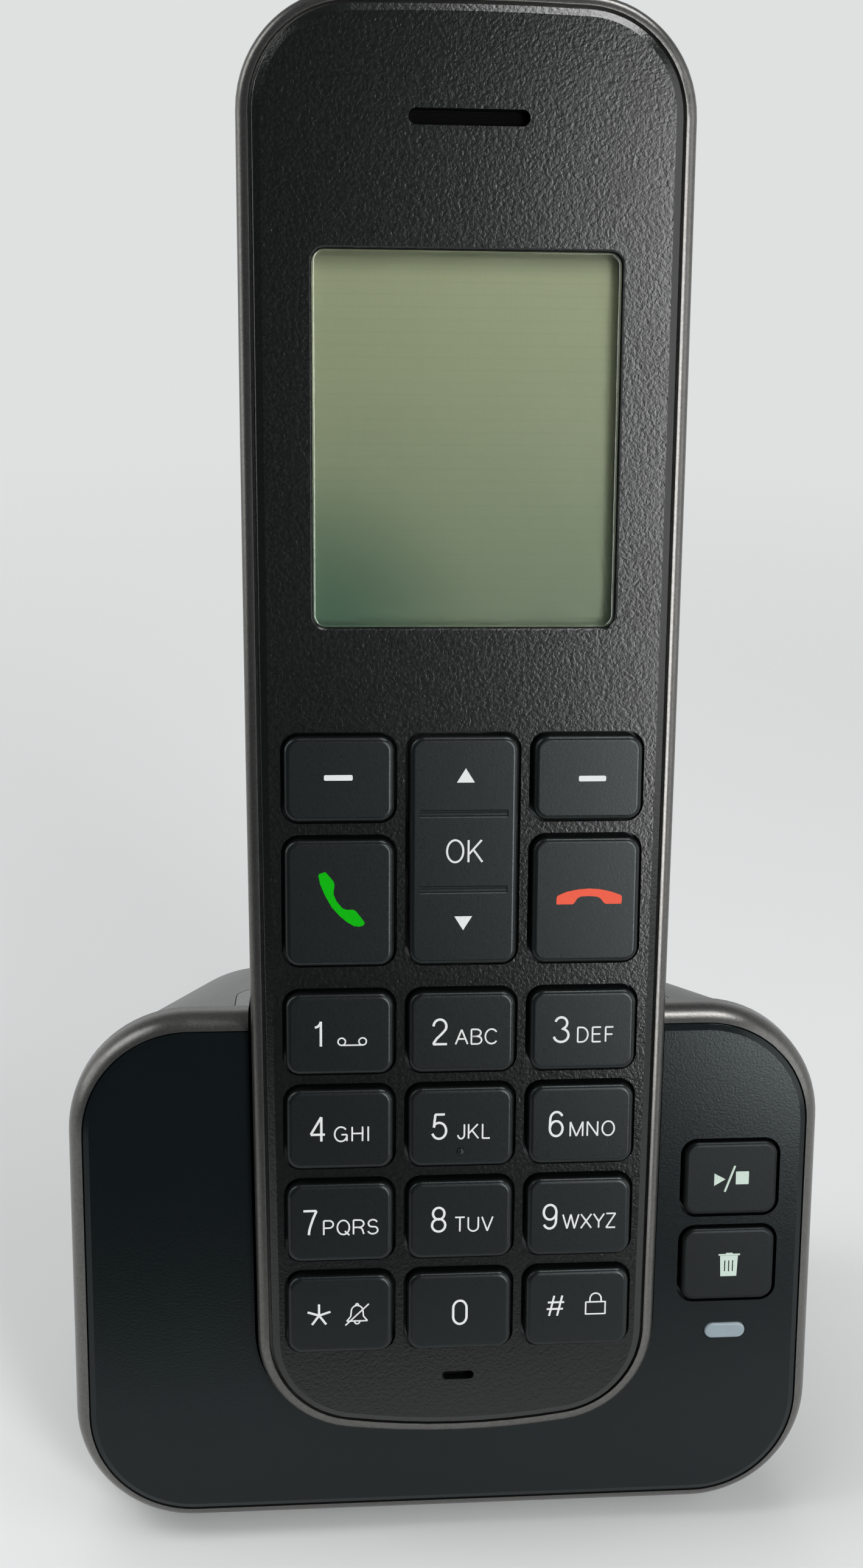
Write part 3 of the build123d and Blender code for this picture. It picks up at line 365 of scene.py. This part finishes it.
def arc(x, y, across, up, start, end):
    """Points along part of an ellipse, from one angle to another in degrees."""
    steps = max(2, int(abs(end - start) / ARC_STEP))
    angles = [math.radians(start + (end - start) * i / steps) for i in range(steps + 1)]
    return [(x + across * math.cos(a), y + up * math.sin(a)) for a in angles]


# Outlines that signs share
RING = arc(.5, .5, .5, .5, 90, 450)
P_BOWL = [(0, 1), (.55, 1)] + arc(.55, .74, .45, .26, 90, -90) + [(0, .48)]
SIX = [arc(.52, .68, .5, .32, 28, 180) + [(0, .33)], arc(.5, .31, .5, .31, 180, 540)]
# Each sign is its width in millimetres and its strokes in a box of one by one
SIGNS = {
    "0": (1.85, [arc(.5, .68, .5, .32, 0, 180) + arc(.5, .32, .5, .32, 180, 360) + [(1, .68)]]),
    "1": (.95, [[(1, 0), (1, 1)], [(0, .76), (.45, .79), (.8, .87), (1, .98)]]),
    "2": (1.87, [arc(.48, .72, .46, .28, 178, -28) + [(.62, .42), (.25, .22), (.05, .06), (.02, 0)],
                 [(0, 0), (1, 0)]]),
    "3": (1.85, [arc(.46, .765, .43, .235, 165, -80) + arc(.46, .27, .54, .27, 80, -168)]),
    "4": (1.9, [[(.74, 0), (.74, 1)], [(.74, 1), (0, .29)], [(0, .28), (1, .28)]]),
    "5": (1.82, [[(.9, 1), (.18, 1)], [(.19, 1), (.08, .47)],
                 [(.08, .47)] + arc(.47, .33, .53, .33, 128, -160)]),
    "6": (1.76, SIX),
    "7": (1.78, [[(0, 1), (1, 1)], [(1, 1), (.75, .7), (.55, .4), (.44, .18), (.4, 0)]]),
    "8": (1.82, [arc(.5, .755, .43, .245, 90, 450), arc(.5, .265, .5, .265, 90, 450)]),
    "9": (1.76, [[(1 - x, 1 - y) for x, y in line] for line in SIX]),
    "#": (2.3, [[(.14, 0), (.42, 1)], [(.6, 0), (.88, 1)], [(.06, .67), (1, .67)], [(0, .34), (.94, .34)]]),
    "*": (2.9, [[(.5, .47), (.5 + .53 * math.cos(a), .47 + .53 * math.sin(a))]
                for a in [math.radians(90 + 72 * i) for i in range(5)]]),
    "A": (1.55, [[(0, 0), (.5, 1)], [(.5, 1), (1, 0)], [(.19, .36), (.81, .36)]]),
    "B": (1.35, [[(0, 0), (0, 1)], [(0, 1), (.5, 1)] + arc(.5, .76, .42, .24, 90, -90) + [(0, .52)],
                 [(0, .52), (.55, .52)] + arc(.55, .26, .45, .26, 90, -90) + [(0, 0)]]),
    "C": (1.5, [arc(.54, .5, .54, .5, 38, 322)]),
    "D": (1.45, [[(0, 0), (0, 1)], [(0, 1), (.4, 1)] + arc(.4, .5, .6, .5, 90, -90) + [(0, 0)]]),
    "E": (1.25, [[(0, 0), (0, 1)], [(0, 1), (1, 1)], [(0, .53), (.92, .53)], [(0, 0), (1, 0)]]),
    "F": (1.15, [[(0, 0), (0, 1)], [(0, 1), (1, 1)], [(0, .5), (.9, .5)]]),
    "G": (1.55, [arc(.52, .5, .52, .5, 40, 335), [(1, .02), (1, .47)], [(1, .47), (.56, .47)]]),
    "H": (1.35, [[(0, 0), (0, 1)], [(1, 0), (1, 1)], [(0, .53), (1, .53)]]),
    "I": (.27, [[(.5, 0), (.5, 1)]]),
    "J": (1.0, [[(1, 1), (1, .3)] + arc(.5, .3, .5, .3, 0, -172)]),
    "K": (1.4, [[(0, 0), (0, 1)], [(0, .34), (.94, 1)], [(.33, .58), (1, 0)]]),
    "L": (1.1, [[(0, 0), (0, 1)], [(0, 0), (1, 0)]]),
    "M": (1.65, [[(0, 0), (0, 1)], [(0, 1), (.5, 0)], [(.5, 0), (1, 1)], [(1, 1), (1, 0)]]),
    "N": (1.4, [[(0, 0), (0, 1)], [(0, 1), (1, 0)], [(1, 0), (1, 1)]]),
    "O": (1.6, [RING]),
    "P": (1.3, [[(0, 0), (0, 1)], P_BOWL]),
    "Q": (1.6, [RING, [(.62, .24), (1, -.06)]]),
    "R": (1.4, [[(0, 0), (0, 1)], P_BOWL, [(.5, .48), (.78, .42), (.9, .25), (1, 0)]]),
    "S": (1.35, [arc(.5, .74, .45, .26, 20, 240) + arc(.5, .265, .5, .265, 60, -165)]),
    "T": (1.35, [[(.5, 0), (.5, 1)], [(0, 1), (1, 1)]]),
    "U": (1.4, [[(0, 1), (0, .33)] + arc(.5, .33, .5, .33, 180, 360) + [(1, 1)]]),
    "V": (1.5, [[(0, 1), (.5, 0)], [(.5, 0), (1, 1)]]),
    "W": (2.1, [[(0, 1), (.27, 0)], [(.27, 0), (.5, 1)], [(.5, 1), (.73, 0)], [(.73, 0), (1, 1)]]),
    "X": (1.45, [[(0, 1), (1, 0)], [(0, 0), (1, 1)]]),
    "Y": (1.45, [[(0, 1), (.5, .45)], [(1, 1), (.5, .45)], [(.5, .45), (.5, 0)]]),
    "Z": (1.3, [[(0, 1), (1, 1)], [(1, 1), (0, 0)], [(0, 0), (1, 0)]]),
}


def word(text, x, y, height, line, width=None, gap=0.0):
    """The strokes of a word with its middle at x, y, as wide as asked, its letters a gap apart."""
    natural = [SIGNS[sign][0] * (height / LETTER_HEIGHT if sign.isalpha() else 1) for sign in text]
    total = sum(natural) + gap * (len(text) - 1)
    stretch = (width or total) / total
    pen = x - total * stretch / 2
    strokes = []
    for sign, wide in zip(text, natural):
        inner = wide * stretch - line
        for stroke in SIGNS[sign][1]:
            strokes.append([(pen + line / 2 + px * inner, y + (py - .5) * (height - line))
                            for px, py in stroke])
        pen += (wide + gap) * stretch
    return strokes


def only(piece):
    """Selects one object and nothing else."""
    bpy.ops.object.select_all(action="DESELECT")
    piece.select_set(True)
    bpy.context.view_layer.objects.active = piece


def drawn(name, lines, thick=None):
    """Round wires along the lines, or flat shapes inside them where no thickness is given, made a mesh."""
    curve = bpy.data.curves.new(name, "CURVE")
    if thick:
        curve.dimensions = "3D"
        curve.bevel_depth = thick / 2
        curve.bevel_resolution = 2
        curve.use_fill_caps = True
    else:
        curve.dimensions = "2D"
        curve.fill_mode = "BOTH"
        curve.extrude = INK / 2
    for line in lines:
        meets = math.dist(line[0], line[-1]) < SAME_SPOT
        points = line[:-1] if thick and meets else line
        spline = curve.splines.new("POLY")
        spline.points.add(len(points) - 1)
        for point, spot in zip(spline.points, points):
            point.co = Vector(spot).to_3d().to_4d()
        spline.use_cyclic_u = meets or not thick
    piece = bpy.data.objects.new(name, curve)
    bpy.context.scene.collection.objects.link(piece)
    only(piece)
    bpy.ops.object.convert(target="MESH")
    return bpy.context.view_layer.objects.active


def stroked(name, lines, thick):
    """Lines of ink: round wires pressed as flat as the ink is."""
    piece = drawn(name, lines, thick)
    piece.data.transform(Matrix.Diagonal((1, 1, INK / thick, 1)))
    return piece


def legend(name, body, place, ink, strokes=(), shapes=()):
    """Prints strokes, as pairs of lines and a width, and filled shapes on a key, as one piece."""
    parts = [stroked(name, lines, thick) for lines, thick in strokes]
    if shapes:
        parts.append(drawn(name, shapes))
    only(parts[0])
    for part in parts:
        part.select_set(True)
    if len(parts) > 1:
        bpy.ops.object.join()
    piece = bpy.context.view_layer.objects.active
    piece.name = name
    x, y, z = place
    piece.data.transform(face_place(x, y, z + INK / 2 - SINK))
    piece.data.materials.append(ink)
    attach(piece, body)


def bar(x, y, wide, high, corner):
    """Outline of a bar with round corners."""
    a, b = wide / 2 - corner, high / 2 - corner
    return (arc(x + a, y + b, corner, corner, 0, 90) + arc(x - a, y + b, corner, corner, 90, 180)
            + arc(x - a, y - b, corner, corner, 180, 270) + arc(x + a, y - b, corner, corner, 270, 360))


# Middle of each number and of its letters across the key, the width of the letters and the gap between them
numbered = [
    ("1", -2.48, "", 0, 0, 0), ("2", -2.49, "ABC", 1.62, 4.9, .22), ("3", -2.44, "DEF", 1.45, 4.28, .36),
    ("4", -2.53, "GHI", 1.3, 4.06, .4), ("5", -2.49, "JKL", 1.47, 3.88, .3),
    ("6", -2.86, "MNO", 1.33, 5.3, .34),
    ("7", -3.48, "PQRS", 1.19, 6.4, .28), ("8", -2.5, "TUV", 1.59, 4.57, .22),
    ("9", -3.38, "WXYZ", 1.21, 6.36, .06),
]
NUMBER_LIFT = 0.15
LETTER_DROP = (DIGIT_HEIGHT - LETTER_HEIGHT) / 2
# The message sign: the middle of its two reels, how far apart they stand, their radius and the line
REELS_X, REELS_LOW, REELS_APART, REEL, REELS_LINE = 1.38, -0.8, 2.36, 0.42, 0.18
for index, (digit, x, letters, letter_x, letter_width, gap) in enumerate(numbered):
    row, column = divmod(index, 3)
    strokes = [(word(digit, x, NUMBER_LIFT, DIGIT_HEIGHT, DIGIT_LINE), DIGIT_LINE)]
    if letters:
        letter_y = NUMBER_LIFT - LETTER_DROP
        strokes.append((word(letters, letter_x, letter_y, LETTER_HEIGHT, LETTER_LINE, letter_width, gap),
                        LETTER_LINE))
    else:
        reel_places = (REELS_X - REELS_APART / 2, REELS_X + REELS_APART / 2)
        reels = [arc(reel_x, REELS_LOW, REEL, REEL, 90, 450) for reel_x in reel_places]
        reels.append([(reel_x, REELS_LOW - REEL) for reel_x in reel_places])
        strokes.append((reels, REELS_LINE))
    place = (HANDSET_X + (column - 1) * COLUMN, ROWS[row], KEY_TOP)
    legend(f"legend_{digit}", f"key_{digit}", place, pale_ink, strokes)

# The bottom row: star with a crossed-out bell, nought, and hash with a padlock
STAR_LINE, HASH_LINE = .28, .25
BELL_X, BELL_LINE = 1.91, .18
bell = [arc(0, .42, .68, .72, 165, 15), [(-.66, .6), (-.74, -.2), (-1.2, -.78)],
        [(.66, .6), (.74, -.2), (1.2, -.78)], [(-1.2, -.78), (1.2, -.78)],
        arc(0, 1.2, .16, .16, 180, 0), arc(0, -.82, .3, .32, 180, 360), [(-1.36, -1.3), (1.36, 1.3)]]
bell = [[(x + BELL_X, y) for x, y in line] for line in bell]
legend("legend_star", "key_star", (HANDSET_X - COLUMN, ROWS[3], KEY_TOP), pale_ink,
       [(word("*", -2.5, .1, 2.9, STAR_LINE), STAR_LINE), (bell, BELL_LINE)])
legend("legend_0", "key_0", (HANDSET_X, ROWS[3], KEY_TOP), pale_ink,
       [(word("0", .06, -.1, DIGIT_HEIGHT, DIGIT_LINE), DIGIT_LINE)])
LOCK_X, LOCK_LIFT, LOCK_LINE = 2.19, .45, .19
lock = [[(-1.15, -1.25), (1.15, -1.25)], [(1.15, -1.3), (1.15, .3)], [(1.15, .25), (-1.15, .25)],
        [(-1.15, .3), (-1.15, -1.3)],
        [(-.66, .25), (-.66, .62)] + arc(0, .62, .66, .72, 180, 0) + [(.66, .25)]]
lock = [[(x + LOCK_X, y + LOCK_LIFT) for x, y in line] for line in lock]
legend("legend_hash", "key_hash", (HANDSET_X + COLUMN, ROWS[3], KEY_TOP), pale_ink,
       [(word("#", -2.53, .36, 2.75, HASH_LINE), HASH_LINE), (lock, LOCK_LINE)])

# The function keys: bars, arrows, and the two receiver signs
legend("legend_soft_left", "soft_key_left", (HANDSET_X - COLUMN, SOFT_ROW, KEY_TOP), pale_ink,
       shapes=[bar(-.1, .28, 3.15, .62, .16)])
legend("legend_soft_right", "soft_key_right", (HANDSET_X + COLUMN, SOFT_ROW, KEY_TOP), pale_ink,
       shapes=[bar(.45, .0, 3.05, .62, .16)])
UP, DOWN = 8.65, -8.15
OK_LINE = .24
legend("legend_nav", "nav_key", (HANDSET_X, NAV_ROW, KEY_TOP), pale_ink,
       [(word("OK", .1, .1, 2.75, OK_LINE, 4.2, .38), OK_LINE)],
       [[(-.85, UP - .8), (1.15, UP - .8), (.15, UP + .8)],
        [(-1.0, DOWN + .8), (0, DOWN - .8), (1.0, DOWN + .8)]])
receiver_up = [(-2.54, 2.73), (-2.46, 2.94), (-1.82, 3.15), (-1.66, 3.05), (-.86, 2.06), (-.75, 1.66),
               (-.86, .86), (-.86, .59), (-.53, -.21), (.13, -1.02), (.59, -1.18), (1.28, -1.18),
               (1.6, -1.34), (2.49, -2.49), (2.59, -2.78), (2.41, -3.02), (2.01, -3.13), (1.39, -3.05),
               (.67, -2.62), (-.13, -1.95), (-1.07, -.88), (-1.87, .59), (-2.35, 1.79)]
legend("legend_talk", "talk_key", (HANDSET_X - COLUMN, TALK_ROW, KEY_TOP), green_ink,
       shapes=[[(x + .2, y + .5) for x, y in receiver_up]])
receiver_down = [(-3.69, -.86), (-3.69, -.13), (-3.56, .13), (-2.57, .56), (-1.23, .83), (0, .91),
                 (1.18, .83), (2.51, .53), (3.58, .13), (3.72, -.05), (3.69, -.8), (3.58, -.88),
                 (1.98, -.88), (1.71, -.78), (1.31, -.24), (.91, -.03), (0, .05), (-.96, 0),
                 (-1.36, -.24), (-1.71, -.78), (-1.9, -.88), (-3.6, -.88)]
legend("legend_end", "end_key", (HANDSET_X + COLUMN, TALK_ROW, KEY_TOP), red_ink,
       shapes=[[(x + .37, y + .5) for x, y in receiver_down]])

# The base keys: play and stop, and a waste bin
SLASH_LINE, LID_LINE, GRIP_LINE = .27, .22, .2
legend("legend_play_stop", "play_stop_key", (BASE_COLUMN + .75, PLAY_ROW, BASE_KEY_TOP), lime_ink,
       [([[(-1.45, -1.6), (-.3, 1.62)]], SLASH_LINE)],
       [[(-2.75, -.83), (-1.4, -.03), (-2.75, .72)], bar(.62, .1, 1.56, 1.6, .08)])
bin_body = [(-1.05, 1.1), (1.1, 1.1), (.98, -1.5), (-.95, -1.5)]
slots = [[(x - .07, -.9), (x - .07, .5), (x + .07, .5), (x + .07, -.9)] for x in (-.47, .02, .48)]
legend("legend_delete", "delete_key", (BASE_COLUMN + .1, DELETE_ROW, BASE_KEY_TOP), lime_ink,
       [([[(-1.25, 1.22), (1.35, 1.22)]], LID_LINE), ([[(-.35, 1.36), (.45, 1.36)]], GRIP_LINE)],
       [bin_body] + slots)

# Four sprung gold wires in the roof of each socket in the back, in millimetres. Their path runs inwards from
# the mouth and down from the roof
SOCKETS = {"line_socket": -10.5, "power_socket": 10.5}
WIRE = 0.4
WIRE_PITCH = 1.02
WIRE_STEPS = (-1.5, -.5, .5, 1.5)
WIRE_PATH = ((1.2, 2.5), (3.0, 3.2), (8.6, 5.6))
for socket, middle in SOCKETS.items():
    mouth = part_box(socket)[1]
    lines = [[(middle + step * WIRE_PITCH, mouth.y / MM - inwards, mouth.z / MM - down)
              for inwards, down in WIRE_PATH] for step in WIRE_STEPS]
    wires = drawn(f"{socket}_wires", lines, WIRE)
    wires.data.transform(Matrix.Scale(MM, 4))
    wires.data.materials.append(gold)
    bpy.ops.object.shade_smooth_by_angle(angle=math.radians(40))
    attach(wires, "base")


# The studio, in metres: a pale floor that fades into a pale surround, dim on the side behind the camera
FLOOR_RADIUS = 1.6
FLOOR_DROP = 0.0002
PAPER_WHITE = "#e4e5e5"
FADE_START, FADE_END = 0.12, 0.5
FRONT_FADE_START, FRONT_FADE_END = -0.08, -0.22


def studio_floor():
    """A round floor whose edge fades out, so that no line shows behind the telephone."""
    bpy.ops.object.select_all(action="DESELECT")
    bpy.ops.mesh.primitive_circle_add(vertices=96, radius=FLOOR_RADIUS, fill_type="NGON",
                                      location=(0, 0, -FLOOR_DROP))
    floor = bpy.context.active_object
    floor.name = "studio_floor"
    material = bpy.data.materials.new("matte_white_paper")
    material.use_nodes = True
    tree = material.node_tree
    tree.nodes.clear()
    place = put(tree, "ShaderNodeTexCoord").outputs["Object"]
    reach = put(tree, "ShaderNodeVectorMath", {0: place}, operation="LENGTH")
    far = put(tree, "ShaderNodeMapRange", {"Value": reach.outputs["Value"], "From Min": FADE_START,
                                           "From Max": FADE_END}, interpolation_type="SMOOTHSTEP")
    axes = put(tree, "ShaderNodeSeparateXYZ", {"Vector": place})
    near = put(tree, "ShaderNodeMapRange", {"Value": axes.outputs["Y"], "From Min": FRONT_FADE_START,
                                            "From Max": FRONT_FADE_END}, interpolation_type="SMOOTHSTEP")
    fade = put(tree, "ShaderNodeMath", {0: far.outputs["Result"], 1: near.outputs["Result"]},
               operation="MAXIMUM")
    paper = put(tree, "ShaderNodeBsdfDiffuse", {"Color": linear(PAPER_WHITE)})
    clear = put(tree, "ShaderNodeBsdfTransparent")
    mix = put(tree, "ShaderNodeMixShader", {0: fade.outputs["Value"], 1: paper.outputs["BSDF"],
                                            2: clear.outputs["BSDF"]})
    put(tree, "ShaderNodeOutputMaterial", {"Surface": mix.outputs["Shader"]})
    floor.data.materials.append(material)


# The way to the pale side of the room and the colours of its walls. They turn pale over this share of the
# way, and the ceiling turns dim over these heights
PALE_SIDE = (0.15, 0.95, 0.0)
DIM_WALL, PALE_WALL = "#363f40", "#dfe1e1"
DIM_UNTIL, PALE_FROM = -0.7, 0.5
CEILING_START, CEILING_END = 0.15, 0.7
CEILING_SHARE = 0.2
# The room's light on matte surfaces
ROOM_TINT = "#e8ecee"
ROOM_LIGHT = 0.25


def surround():
    """A pale room, dim at the front, as cameras, gloss and glass see it, and a low even light from it."""
    world = bpy.data.worlds.new("pale_surround")
    bpy.context.scene.world = world
    world.use_nodes = True
    tree = world.node_tree
    tree.nodes.clear()
    way = put(tree, "ShaderNodeTexCoord").outputs["Generated"]
    side = put(tree, "ShaderNodeVectorMath", {0: way, 1: PALE_SIDE}, operation="DOT_PRODUCT")
    depth = put(tree, "ShaderNodeMapRange", {"Value": side.outputs["Value"], "From Min": DIM_UNTIL,
                                             "From Max": PALE_FROM}, interpolation_type="SMOOTHSTEP")
    axes = put(tree, "ShaderNodeSeparateXYZ", {"Vector": way})
    rise = put(tree, "ShaderNodeMapRange", {"Value": axes.outputs["Z"], "From Min": CEILING_START,
                                            "From Max": CEILING_END, "To Min": 1.0,
                                            "To Max": CEILING_SHARE}, interpolation_type="SMOOTHSTEP")
    ray = put(tree, "ShaderNodeLightPath")
    shade = put(tree, "ShaderNodeMath", {0: depth.outputs["Result"], 1: rise.outputs["Result"]},
                operation="MULTIPLY")
    # gloss and glass see the dim front and ceiling of the room, and the camera sees only its pale walls
    shade = put(tree, "ShaderNodeMath", {0: shade.outputs["Value"], 1: ray.outputs["Is Camera Ray"]},
                operation="MAXIMUM")
    wall = put(tree, "ShaderNodeMix", {"Factor": shade.outputs["Value"], "A": linear(DIM_WALL),
                                       "B": linear(PALE_WALL)}, data_type="RGBA")
    seen = put(tree, "ShaderNodeMath", {0: ray.outputs["Is Camera Ray"], 1: ray.outputs["Is Glossy Ray"]},
               operation="MAXIMUM")
    seen = put(tree, "ShaderNodeMath", {0: seen.outputs["Value"], 1: ray.outputs["Is Transmission Ray"]},
               operation="MAXIMUM")
    room = put(tree, "ShaderNodeBackground", {"Color": linear(ROOM_TINT), "Strength": ROOM_LIGHT})
    pale = put(tree, "ShaderNodeBackground", {"Color": wall.outputs["Result"], "Strength": 1.0})
    mix = put(tree, "ShaderNodeMixShader", {0: seen.outputs["Value"], 1: room.outputs["Background"],
                                            2: pale.outputs["Background"]})
    put(tree, "ShaderNodeOutputWorld", {"Surface": mix.outputs["Shader"]})


def softbox(name, spot, aim, wide, high, watts, gloss=True, matte=True):
    """A flat studio lamp that looks at a point, and lights shiny surfaces, matte ones or both."""
    lamp = bpy.data.lights.new(name, "AREA")
    lamp.shape = "RECTANGLE"
    lamp.size = wide
    lamp.size_y = high
    lamp.energy = watts
    stand = bpy.data.objects.new(name, lamp)
    bpy.context.scene.collection.objects.link(stand)
    stand.location = spot
    stand.rotation_euler = (Vector(aim) - Vector(spot)).to_track_quat("-Z", "Y").to_euler()
    stand.visible_camera = False
    stand.visible_glossy = gloss
    stand.visible_diffuse = matte


studio_floor()
surround()
# Lamps in metres and watts. The two cards are seen in shiny surfaces only
softbox("strip_light", (0.19, -0.42, 0.2), (0, -0.02, 0.09), 0.13, 0.38, 1.75)
softbox("window_light", (0.66, -0.27, 0.3), (0, -0.02, 0.08), 0.5, 0.7, 1.6)
softbox("overhead_light", (-0.25, 0.35, 1.0), (0, 0.05, 0.03), 1.2, 0.9, 6.0, gloss=False)
softbox("left_light", (-0.6, 0.06, 0.6), (0, 0, 0.06), 0.3, 0.5, 1.8)
softbox("left_card", (-0.6, 0.05, 0.17), (-0.02, 0, 0.13), 0.35, 0.22, 0.45, matte=False)
softbox("high_card", (0.27, -0.02, 0.8), (0.03, -0.02, 0.05), 0.2, 0.35, 2.6, matte=False)

# The camera stands where the photograph was taken from. Its lens is given in pixels of the photograph
CAMERA_SPOT = Vector((-18.6, -194.03, 176.82))
LENS_PIXELS = 3000
PHOTO_HEIGHT = 2576
SENSOR = 36.0
FORWARD = Vector((0.0787, 0.9013, -0.4260)).normalized()
UPWARD = Vector((0.0077, 0.4268, 0.9044)).normalized()
camera = bpy.data.objects.new("camera", bpy.data.cameras.new("camera"))
bpy.context.scene.collection.objects.link(camera)
axes = Matrix((FORWARD.cross(UPWARD), UPWARD, -FORWARD)).transposed().to_4x4()
camera.matrix_world = Matrix.Translation(CAMERA_SPOT * MM) @ axes
camera.data.sensor_width = SENSOR
camera.data.lens = LENS_PIXELS / PHOTO_HEIGHT * SENSOR
camera.data.clip_start = 0.01
bpy.context.scene.camera = camera
bpy.context.scene.view_settings.view_transform = "Standard"
